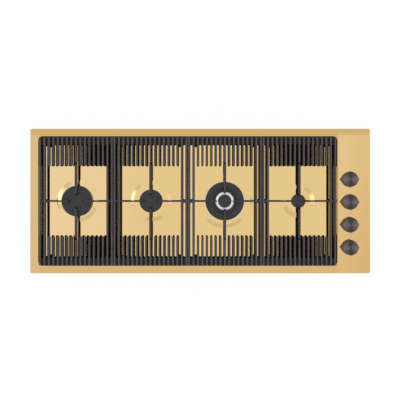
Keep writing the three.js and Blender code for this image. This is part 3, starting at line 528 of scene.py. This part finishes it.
# The pressed top: a shallow well whose walls sweep into its floor, and a plateau for each burner.
topShape = {
    "halfWidth": 600, "halfDepth": 255, "corner": 8, "edgeRound": 2, "lip": 50.3,
    "well": (-570.5, 483.5, -227, 227), "wellCorner": 10.5, "shoulder": 2, "wallRun": 12, "sweep": 10,
    "leastBend": 25, "square": 105, "sides": 96, "holeSquare": 9, "spindleHole": 6, "holeSides": 24,
    "margin": 4, "throatFlat": 3,
    "slopes": (  # for each burner, slopes as foot radius, top radius and the share of the rise reached
        ((75, 58, 1),), ((74, 58, 1),), ((97, 80, 0.45), (66, 62, 1)), ((60, 42, 1),),
    ),
}


def openCircle(bm, x, y, radius, sides):  # swaps the face under x, y for a ring of faces round a hole
    face = min(bm.faces, key=lambda item: (item.calc_center_median().xy - Vector((x, y))).length)
    edges = list(face.edges)
    z = face.verts[0].co.z
    bmesh.ops.delete(bm, geom=[face], context="FACES_ONLY")
    split = bmesh.ops.subdivide_edges(bm, edges=edges, cuts=sides // 4 - 1)
    outer = set(edgesOf(split["geom_inner"])) | set(edgesOf(split["geom_split"]))
    outer = [edge for edge in outer if edge.is_boundary]
    place = Matrix.Translation((x, y, z)) @ Matrix.Rotation(math.pi / 4, 4, "Z")
    circle = bmesh.ops.create_circle(bm, segments=sides, radius=radius, matrix=place)["verts"]
    ring = list({edge for vert in circle for edge in vert.link_edges})
    bmesh.ops.bridge_loops(bm, edges=outer + ring)
    return ring


def growRing(bm, ring, x, share, rise):  # carries an open ring on to another radius and height
    made = bmesh.ops.extrude_edge_only(bm, edges=ring)["geom"]
    space = Matrix.Translation((-x, 0, 0))
    bmesh.ops.scale(bm, vec=(share, share, 1), space=space, verts=vertsOf(made))
    bmesh.ops.translate(bm, vec=(0, 0, rise), verts=vertsOf(made))
    return edgesOf(made)


def slopeSteps(foot, top, blend=0.15, count=20):  # an even slope, rounded into the flat at both ends
    steps = []
    for i in range(1, count + 1):
        share = i / count
        if share < blend:
            rise = share ** 2 / (2 * blend)
        elif share > 1 - blend:
            rise = 1 - blend - (1 - share) ** 2 / (2 * blend)
        else:
            rise = share - blend / 2
        steps.append((foot + (top - foot) * share, rise / (1 - blend)))
    return steps


def laySheet(bm):  # flat, with a square of its own under each burner and each knob
    shape = topShape
    left, right, front, rear = shape["well"]
    square, hole = shape["square"], shape["holeSquare"]
    acrossLines = [-shape["halfWidth"], left]
    for x in layout["burnerX"]:
        acrossLines += [x - square, x + square]
    acrossLines += [right, layout["knobX"] - hole, layout["knobX"] + hole, shape["halfWidth"]]
    alongLines = [-shape["halfDepth"], front, -square, square, rear, shape["halfDepth"]]
    layGrid(bm, acrossLines, alongLines, layout["topZ"])
    for y in layout["knobY"]:
        for side in (-hole, hole):
            strip = [face for face in bm.faces if face.calc_center_median().x > right]
            geometry = strip + list({edge for face in strip for edge in face.edges})
            geometry += list({vert for face in strip for vert in face.verts})
            plane = {"plane_co": (0, y + side, 0), "plane_no": (0, 1, 0)}
            bmesh.ops.bisect_plane(bm, geom=geometry, dist=weld, **plane)


def sinkWell(bm):
    left, right, front, rear = topShape["well"]
    run = topShape["wallRun"]
    sunk = []
    for face in bm.faces:
        middle = face.calc_center_median()
        if left < middle.x < right and front < middle.y < rear:
            sunk.append(face)
    pushFaces(bm, sunk, (0, 0, layout["floorZ"] - layout["topZ"]))
    for vert in bm.verts:
        if vert.co.z == layout["floorZ"]:
            vert.co.x = min(max(vert.co.x, left + run), right - run)
            vert.co.y = min(max(vert.co.y, front + run), rear - run)


def dropSkirt(bm):  # the plate's edge, down to the seal
    skirt = [edge for edge in bm.edges if edge.is_boundary]
    made = bmesh.ops.extrude_edge_only(bm, edges=skirt)["geom"]
    bmesh.ops.translate(bm, vec=(0, 0, topShape["lip"] - layout["topZ"]), verts=vertsOf(made))


def roundCorners(bm):
    shape = topShape
    left, right, front, rear = shape["well"]
    outside, inside = [], []
    for edge in bm.edges:
        if abs(edge.verts[0].co.z - edge.verts[1].co.z) < 1:
            continue
        upper = max(edge.verts, key=lambda vert: vert.co.z).co
        if abs(upper.x) == shape["halfWidth"] and abs(upper.y) == shape["halfDepth"]:
            outside.append(edge)
        elif upper.x in (left, right) and upper.y in (front, rear):
            inside.append(edge)
    roundEdges(bm, outside, shape["corner"], 6)
    roundEdges(bm, inside, shape["wellCorner"], 8)


def roundBends(bm):  # the well's shoulder and sweep, and the plate's own edge
    shape = topShape
    rim = shape["corner"] + shape["edgeRound"]
    bends = {"shoulder": [], "sweep": [], "edgeRound": []}
    for edge in bm.edges:
        if edge.is_boundary or edge.calc_face_angle() < math.radians(shape["leastBend"]):
            continue
        middle = (edge.verts[0].co + edge.verts[1].co) / 2
        if abs(middle.z - layout["floorZ"]) < near:
            bends["sweep"].append(edge)
        elif abs(middle.x) > shape["halfWidth"] - rim or abs(middle.y) > shape["halfDepth"] - rim:
            bends["edgeRound"].append(edge)
        elif abs(middle.z - layout["topZ"]) < near:
            bends["shoulder"].append(edge)
    for bend, steps in (("shoulder", 6), ("sweep", 8), ("edgeRound", 4)):
        roundEdges(bm, [edge for edge in bends[bend] if edge.is_valid], shape[bend], steps)


def pressPlateau(bm, x, throat, slopes):
    shape = topShape
    rise = layout["plateauZ"] - layout["floorZ"]
    radius, height = slopes[0][0] + shape["margin"], 0
    ring = openCircle(bm, x, 0, radius, shape["sides"])
    for foot, top, level in slopes:
        ring = growRing(bm, ring, x, foot / radius, 0)
        radius, below = foot, height
        for reach, share in slopeSteps(foot, top):
            share = below + (level - below) * share
            ring = growRing(bm, ring, x, reach / radius, rise * (share - height))
            radius, height = reach, share
    for reach in (radius - shape["margin"], throat + shape["throatFlat"], throat):
        ring = growRing(bm, ring, x, reach / radius, 0)
        radius = reach


def makeTop():
    shape = topShape
    bm = bmesh.new()
    laySheet(bm)
    sinkWell(bm)
    dropSkirt(bm)
    roundCorners(bm)
    roundBends(bm)
    for x, throat, slopes in zip(layout["burnerX"], layout["throats"], shape["slopes"]):
        pressPlateau(bm, x, throat, slopes)
    for y in layout["knobY"]:
        openCircle(bm, layout["knobX"], y, shape["spindleHole"], shape["holeSides"])
    piece = finishPiece("goldTop", bm, ["gold_steel"], "hob", ["top_plate"], sharp=50)
    wall = piece.modifiers.new("sheet", "SOLIDIFY")
    wall.thickness = layout["sheet"] * mm
    wall.offset = -1
    bpy.context.view_layer.update()
    piece.modifiers.move(1, 0)  # the sheet gets its thickness before its shading


# The grates: a comb of bars over a rail at each end, with four fingers toward the burner.
grateShape = {
    "width": 259, "depth": 448, "bars": 17, "fullBars": 2, "barBase": 8.2, "barTop": 6.6,
    "top": 92, "barFoot": 77, "railFoot": 74, "railDepth": 25, "railTop": 86.5,
    "toothTip": 123, "middleTip": 134, "tipRound": 3.1, "slotRound": 3.2, "edge": 1.5, "leastBend": 45,
    "fingerTop": 90.4, "fingerFoot": 79.4, "fingerWidths": (5.4, 8.6), "fingerTips": (22, 22, 28, 22),
    "fingerEdge": 1.1, "taper": 3, "taperRun": 40, "nose": 6, "noseDrop": 5,
    "notchDepth": 8, "notchFrom": 138, "notchTo": 129, "notchLean": 0.5,
    "webWide": 24, "webSlim": 11, "webTop": 89.4, "webFoot": 79.4, "webEdge": 0.8, "webSteps": 8,
    "footInset": 26, "footTop": 13, "footBottom": 9, "footSink": 6, "footEdge": 1.2,
    "padTop": 50, "padFoot": 46.3, "padInset": 0.6,
}


def barPitch():
    return (grateShape["width"] - grateShape["barBase"]) / (grateShape["bars"] - 1)


def railLine():  # where the rails' inner faces lie, before and behind the middle
    return grateShape["depth"] / 2 - grateShape["railDepth"]


def barAt(face, left):  # the bar that a face lies on, or None between bars
    offset = face.calc_center_median().x - left
    bar = int(offset // barPitch())
    return bar if offset - bar * barPitch() < grateShape["barBase"] else None


def onRail(face):
    return abs(face.calc_center_median().y) > railLine()


def layComb(bm, x):  # the comb's outline, flat, with the middle open between the outer bars
    shape = grateShape
    left, half, tip = x - shape["width"] / 2, shape["depth"] / 2, shape["toothTip"]
    acrossLines = []
    for bar in range(shape["bars"]):
        acrossLines += [left + bar * barPitch(), left + bar * barPitch() + shape["barBase"]]
    alongLines = [-half, -railLine(), -tip, tip, railLine(), half]
    layGrid(bm, acrossLines, alongLines, shape["barFoot"])
    unwanted = []
    for face in bm.faces:
        bar = barAt(face, left)
        outer = bar is not None and min(bar, shape["bars"] - 1 - bar) < shape["fullBars"]
        inMiddle = abs(face.calc_center_median().y) < tip
        if not onRail(face) and (bar is None or (inMiddle and not outer)):
            unwanted.append(face)
    bmesh.ops.delete(bm, geom=unwanted, context="FACES")
    for vert in bm.verts:
        if abs(vert.co.x - x) < shape["barBase"] and abs(vert.co.y) == tip:
            vert.co.y = math.copysign(shape["middleTip"], vert.co.y)


def raiseComb(bm, x):  # bars above rails, each bar slimmer at its top
    shape = grateShape
    left, base = x - shape["width"] / 2, shape["barBase"]
    under = bm.faces[:]
    upper = pushFaces(bm, under, (0, 0, shape["railTop"] - shape["barFoot"]))
    ridges = [face for face in upper if barAt(face, left) is not None]
    pushFaces(bm, ridges, (0, 0, shape["top"] - shape["railTop"]))
    rails = [face for face in under if onRail(face)]
    pushFaces(bm, rails, (0, 0, shape["railFoot"] - shape["barFoot"]))
    bmesh.ops.dissolve_limit(bm, angle_limit=0.01, verts=bm.verts, edges=bm.edges)
    slim = 1 - shape["barTop"] / base
    for vert in bm.verts:
        rise = max(vert.co.z - shape["barFoot"], 0) / (shape["top"] - shape["barFoot"])
        nearest = round((vert.co.x - left - base / 2) / barPitch())
        centre = left + base / 2 + nearest * barPitch()
        vert.co.x = centre + (vert.co.x - centre) * (1 - slim * rise)


def roundComb(bm):
    shape = grateShape
    tips, slots = [], []
    for edge in bm.edges:
        first, second = edge.verts[0].co, edge.verts[1].co
        if abs(first.z - second.z) < 2 or abs(first.y - second.y) > near:
            continue
        if abs(first.y) < shape["middleTip"] + near:
            tips.append(edge)
        elif abs(abs(first.y) - railLine()) < near:
            slots.append(edge)
    roundEdges(bm, tips, shape["tipRound"], 4)
    roundEdges(bm, [edge for edge in slots if edge.is_valid], shape["slotRound"], 4)
    crests = []
    for edge in bm.edges:
        level = min(edge.verts[0].co.z, edge.verts[1].co.z)
        if level > shape["top"] - near and edge.calc_face_angle() > math.radians(shape["leastBend"]):
            crests.append(edge)
    roundEdges(bm, crests, shape["edge"], 2)


def pushOutline(bm, outline, place, thickness, edge):
    # an outline of [along, height] points, thickened evenly to both sides, then turned into place
    corners = [bm.verts.new((along, -thickness / 2, z)) for along, z in outline]
    face = bm.faces.new(corners)
    made = bmesh.ops.extrude_face_region(bm, geom=[face, *face.edges, *corners])["geom"]
    bmesh.ops.translate(bm, verts=vertsOf(made), vec=(0, thickness, 0))
    whole = corners + vertsOf(made)
    rims = list({side for vert in whole for side in vert.link_edges})
    rims = [side for side in rims if abs(side.verts[0].co.y - side.verts[1].co.y) < near]
    bmesh.ops.transform(bm, matrix=place, verts=whole)
    roundEdges(bm, rims, edge, 2)


def fingerOutline(start, tip, notched):
    shape = grateShape
    top, foot = shape["fingerTop"], shape["fingerFoot"]
    lower = [(start, foot), (tip + shape["taperRun"], foot), (tip, foot + shape["taper"])]
    upper = [(tip, top - shape["noseDrop"]), (tip + shape["nose"], top)]
    if notched:
        dip = top - shape["notchDepth"]
        notch = shape["notchTo"]
        return lower + upper + [(notch, top), (notch + shape["notchLean"], dip), (start, dip)]
    return lower + upper + [(start, top)]


def makeWeb(bm, middle):  # joins the two outer bars where a finger meets them
    shape = grateShape
    old = set(bm.verts)
    bmesh.ops.create_grid(bm, x_segments=shape["webSteps"], y_segments=1, size=1)
    for vert in set(bm.verts) - old:
        flare = shape["webSlim"] + (shape["webWide"] - shape["webSlim"]) * vert.co.x ** 2
        vert.co = (middle + vert.co.x * barPitch() / 2, vert.co.y * flare / 2, shape["webFoot"])
    faces = [face for face in bm.faces if face.verts[0] not in old]
    pushFaces(bm, faces, (0, 0, shape["webTop"] - shape["webFoot"]))
    edges = {edge for vert in bm.verts if vert not in old for edge in vert.link_edges}
    bend = math.radians(shape["leastBend"])
    rims = [edge for edge in edges if edge.calc_face_angle(0) > bend]
    roundEdges(bm, rims, shape["webEdge"], 2)


def makeFoot(bm, x, y, top, bottom, low, high, material):
    place = Matrix.Translation((x, y, (low + high) / 2)) @ Matrix.Rotation(math.pi / 4, 4, "Z")
    spread = math.sqrt(2) / 2  # from a square's side to its corner
    values = {"radius1": bottom * spread, "radius2": top * spread, "depth": high - low}
    foot = bmesh.ops.create_cone(bm, cap_ends=True, segments=4, matrix=place, **values)["verts"]
    for face in {face for vert in foot for face in vert.link_faces}:
        face.material_index = material
    edges = {edge for vert in foot for edge in vert.link_edges}
    roundEdges(bm, list(edges), grateShape["footEdge"], 3)


def makeFeet(bm, x):  # four feet, each on a rubber pad
    shape = grateShape
    high = shape["railTop"] - shape["footSink"]
    pad = shape["footBottom"] - shape["padInset"]
    for side in (-1, 1):
        for end in (-1, 1):
            footX = x + side * (shape["width"] / 2 - shape["footInset"])
            footY = end * (shape["depth"] / 2 - shape["footInset"])
            makeFoot(bm, footX, footY, shape["footTop"], shape["footBottom"], shape["padTop"], high, 0)
            makeFoot(bm, footX, footY, pad, pad, shape["padFoot"], shape["padTop"], 1)


def makeGrate(index):
    shape = grateShape
    x = layout["burnerX"][index]
    edgeBar = shape["width"] / 2 - shape["barBase"] / 2
    bm = bmesh.new()
    layComb(bm, x)
    raiseComb(bm, x)
    roundComb(bm)
    for quarter in range(4):
        notched = quarter % 2
        start = shape["notchFrom"] if notched else edgeBar
        place = Matrix.Translation((x, 0, 0)) @ Matrix.Rotation(quarter * math.pi / 2, 4, "Z")
        outline = fingerOutline(start, shape["fingerTips"][index], notched)
        pushOutline(bm, outline, place, shape["fingerWidths"][notched], shape["fingerEdge"])
    for side in (-1, 1):
        makeWeb(bm, x + side * (edgeBar - barPitch() / 2))
    makeFeet(bm, x)
    name = f"grate_{index + 1}"
    finishPiece(f"castGrate{index + 1}", bm, ["cast_iron", "seal_foam"], name, [name], sharp=30)


# The burners: an aluminium crown with flame slots, a black enamelled cap, and the pins beside it.
burnerShape = {
    "caps": (54, 40.3, 67.8, 24), "ports": (24, 18, 32, 12), "steps": 96,
    "crownFoot": 50.3, "crownTop": 64.3, "crownBore": 9, "throatFit": 0.3, "overhang": 1.5, "wall": 7,
    "portDrop": 1.2, "portHeight": 4, "portDepth": 2.6, "portFaces": 4,
    "capFoot": 64.6, "capHeight": 5.6, "dome": 1.2,
    "ringHole": 34.5, "ringHeight": 5, "ringCrest": 54,
    "innerRadius": 33.5, "innerFoot": 54.6, "innerTop": 64.6, "innerBore": 7.4, "spigot": 9,
    "innerCap": 23.5, "innerCapTop": 69.3,
}


def cutPorts(bm, x, radius, low, high, count):  # sinks one face in every few of a band into the wall
    shape = burnerShape
    ports = []
    for face in bm.faces:
        middle = face.calc_center_median() - Vector((x, 0, 0))
        if not low < middle.z < high or abs(middle.xy.length - radius) > 0.4:
            continue
        turnShare = math.atan2(middle.y, middle.x) / (2 * math.pi) % 1
        if int(turnShare * count * shape["portFaces"]) % shape["portFaces"] == 1:
            ports.append(face)
    made = bmesh.ops.extrude_discrete_faces(bm, faces=ports)["faces"]
    sunk = list({vert for face in made for vert in face.verts})
    share = 1 - shape["portDepth"] / radius
    bmesh.ops.scale(bm, vec=(share, share, 1), space=Matrix.Translation((-x, 0, 0)), verts=sunk)


def makeCrown(index):
    shape = burnerShape
    x = layout["burnerX"][index]
    count = shape["ports"][index]
    foot, top = shape["crownFoot"], shape["crownTop"]
    portTop = top - shape["portDrop"]
    portFoot = portTop - shape["portHeight"]
    radius = shape["caps"][index] - shape["overhang"]
    inside = radius - shape["wall"]
    throat = layout["throats"][index] + shape["throatFit"]
    bore = shape["ringHole"] - 1 if index == 2 else shape["crownBore"]
    profile = [
        (bore, foot - 6, 0), (bore + 2, foot - 6, 0), (bore + 2, foot + 1, 0), (throat, foot + 1, 0),
        (throat, foot, 0), (radius - 1.5, foot, 0), (radius, foot + 2, 0.8), (radius, portFoot, 0),
        (radius, portTop, 0), (radius, top, 0.4), (inside, top, 0.6), (inside, foot + 4, 1),
        (bore, foot + 4, 1),
    ]
    bm = bmesh.new()
    turn(bm, profile, x, 0, count * shape["portFaces"])
    cutPorts(bm, x, radius, portFoot, portTop, count)
    name = f"crown_{index + 1}"
    finishPiece(f"aluminiumCrown{index + 1}", bm, ["cast_aluminium"], name, [f"flame_{name}"])


def makeCap(index):
    shape = burnerShape
    radius = shape["caps"][index]
    foot = shape["capFoot"]
    top = foot + shape["capHeight"]
    brim = top - shape["dome"]
    inside = radius - shape["overhang"] - shape["wall"]
    profile = [
        (0, foot + 1.4, 0), (inside, foot + 1.4, 0.5), (inside, foot, 0.3), (radius - 0.6, foot, 0.4),
        (radius, foot + 1.2, 0.5), (radius, brim - 1.6, 0.9), (radius - 2.2, brim, 1.2),
        (radius * 0.72, top - 0.45, 0), (radius * 0.4, top - 0.1, 0), (0, top, 0),
    ]
    bm = bmesh.new()
    turn(bm, profile, layout["burnerX"][index], 0, shape["steps"])
    name = f"cap_{index + 1}"
    finishPiece(f"enamelCap{index + 1}", bm, ["black_enamel"], name, [f"burner_{name}"])


def makeRingCap():  # its crest lies well out, and a cone runs down from it to the hole
    shape = burnerShape
    radius, hole, crest = shape["caps"][2], shape["ringHole"], shape["ringCrest"]
    foot = shape["capFoot"]
    top = foot + shape["ringHeight"]
    profile = [
        (hole, foot, 0.3), (radius - 0.8, foot, 0.4), (radius, foot + 1.2, 0.6),
        (radius - 2.4, top - 1.8, 1.6), (crest + 5, top - 0.2, 3), (crest, top, 2.5),
        (crest - 4, top - 0.5, 2.5), (crest - 13, top - 3.6, 3), (hole, top - 4.3, 0.3),
    ]
    bm = bmesh.new()
    turn(bm, profile, layout["burnerX"][2], 0, shape["steps"])
    finishPiece("enamelRingCap", bm, ["black_enamel"], "cap_3", ["burner_cap_3"])


def makeInnerCrown():
    shape = burnerShape
    radius, foot, top = shape["innerRadius"], shape["innerFoot"], shape["innerTop"]
    bore, spigot, lid = shape["innerBore"], shape["spigot"], shape["innerCap"]
    profile = [
        (bore, foot - 9, 0), (spigot, foot - 9, 0), (spigot, foot, 0), (radius - 1.5, foot, 0.5),
        (radius, foot + 2, 0.6), (radius, top - 3.2, 0.8), (lid + 1, top - 0.2, 0.5),
        (lid - 6, top, 0.4), (lid - 6, foot + 3, 0), (bore, foot + 3, 0),
    ]
    bm = bmesh.new()
    turn(bm, profile, layout["burnerX"][2], 0, shape["steps"])
    finishPiece("innerCrown", bm, ["cast_aluminium"], "inner_crown_3", ["inner_flame_crown_3"])


def makeCentreCap():
    shape = burnerShape
    lid = shape["innerCap"]
    low, high = shape["innerTop"] + 0.3, shape["innerCapTop"]
    profile = [
        (0, low, 0), (lid - 0.8, low, 0.3), (lid, low + 1, 0.4), (lid - 0.4, high - 2.2, 0.8),
        (lid - 2.4, high - 1, 1), (lid * 0.6, high - 0.3, 0), (0, high, 0),
    ]
    bm = bmesh.new()
    turn(bm, profile, layout["burnerX"][2], 0, shape["steps"])
    finishPiece("centreCap", bm, ["black_enamel"], "centre_cap_3", ["centre_cap_3"])


# The pins beside each burner: a ceramic electrode with a steel tip, and a thermocouple.
pinShape = {
    "inset": 3.2, "turn": 45, "foot": 34, "radius": 2.4, "overlap": 0.5,
    "kinds": {
        "spark_electrode": {
            "name": "sparkElectrode", "side": 1, "slots": ["white_ceramic", "bare_steel"],
            "tip": 0.8, "shoulder": 5, "length": 4.5,
        },
        "thermocouple": {
            "name": "thermocouple", "side": -1, "slots": ["copper", "bare_steel"],
            "tip": 1.5, "shoulder": 3, "length": 6,
        },
    },
}


def makePin(index, node, kind):
    shape = pinShape
    angle = math.radians(90 + kind["side"] * shape["turn"])
    reach = burnerShape["caps"][index] - shape["inset"]
    x = layout["burnerX"][index] + reach * math.cos(angle)
    y = reach * math.sin(angle)
    radius, foot, tip = shape["radius"], shape["foot"], kind["tip"]
    neck = layout["plateauZ"] + kind["shoulder"]
    top = min(neck + kind["length"], burnerShape["crownTop"])
    low = neck - shape["overlap"]
    bm = bmesh.new()
    turn(bm, [(0, foot, 0), (radius, foot, 0.3), (radius, neck, 0.5), (0, neck, 0)], x, y, 20)
    turn(bm, [(0, low, 0), (tip, low, 0), (tip, top, tip * 0.8), (0, top, 0)], x, y, 16, 1)
    finishPiece(f"{kind['name']}{index + 1}", bm, kind["slots"], "hob", [f"{node}_{index + 1}"])


# The knobs: round, with a nib toward the grates and three slighter points.
knobShape = {
    "radius": 27, "foot": 61, "top": 82, "taper": 0.8, "band": 1.5, "edge": 2, "edgeSteps": 4,
    "brim": 2.2, "dish": 0.2, "dishRun": 0.6, "steps": 144,
    "points": ((0, 3), (90, 1.4), (180, 6.5), (270, 1.4)),  # each one's angle and height
}


def knobReach(angle):  # round, with straight flanks up to each point
    radius = knobShape["radius"]
    reach = radius
    for middle, height in knobShape["points"]:
        off = math.radians(abs((angle - middle + 180) % 360 - 180))
        spread = math.acos(radius / (radius + height))
        reach = max(reach, radius / math.cos(max(0, spread - off)))
    return reach


def knobSections():  # [radius, height] steps from the foot over the rounded rim into the dish
    shape = knobShape
    top, edge = shape["top"], shape["edge"]
    rim = shape["radius"] - shape["taper"]
    sections = [(shape["radius"], shape["foot"] + shape["band"]), (rim, top - edge)]
    for step in range(1, shape["edgeSteps"] + 1):
        angle = step / shape["edgeSteps"] * math.pi / 2
        sections.append((rim - edge * (1 - math.cos(angle)), top - edge * (1 - math.sin(angle))))
    brim = rim - edge - shape["brim"]
    return sections + [(brim, top), (brim - shape["dishRun"], top - shape["dish"])]


def makeKnob(index):
    shape = knobShape
    radius, height = shape["radius"], shape["foot"]
    bm = bmesh.new()
    place = Matrix.Translation((0, 0, height))
    bmesh.ops.create_circle(bm, cap_ends=True, segments=shape["steps"], radius=radius, matrix=place)
    for vert in bm.verts:
        angle = math.degrees(math.atan2(vert.co.y, vert.co.x))
        vert.co.xy = vert.co.xy.normalized() * knobReach(angle)
    face = bm.faces[:]
    for reach, z in knobSections():
        face = pushFaces(bm, face, (0, 0, z - height))
        share = reach / radius
        bmesh.ops.scale(bm, vec=(share, share, 1), verts=list(face[0].verts))
        radius, height = reach, z
    bmesh.ops.translate(bm, vec=(layout["knobX"], layout["knobY"][index], 0), verts=bm.verts)
    name = f"knob_{index + 1}"
    finishPiece(f"spunKnob{index + 1}", bm, ["black_metal"], name, [name])


def paintFrame():  # every CAD node that is still shown takes the finish of its slot
    for part in frame["record"]["subparts"]:
        node = frame["nodes"][part["node"]]
        node.data.materials.clear()
        node.data.materials.append(finishes[part["material_slot"]])


makeCamera()
makeWorld()
for name, lamp in lights["lamps"].items():
    makeLamp(name, lamp["place"], lamp["size"], lamp["level"])
finishes = makeFinishes()
makeFloor()
print("camera, light and finishes made:", len(finishes))
paintFrame()
makeTop()
print("top made")
for index in range(4):
    makeGrate(index)
print("grates made")
for index in range(4):
    makeCrown(index)
    for node, kind in pinShape["kinds"].items():
        makePin(index, node, kind)
    if index != 2:
        makeCap(index)
makeRingCap()
makeInnerCrown()
makeCentreCap()
print("burners made")
for index in range(4):
    makeKnob(index)
print("knobs made")
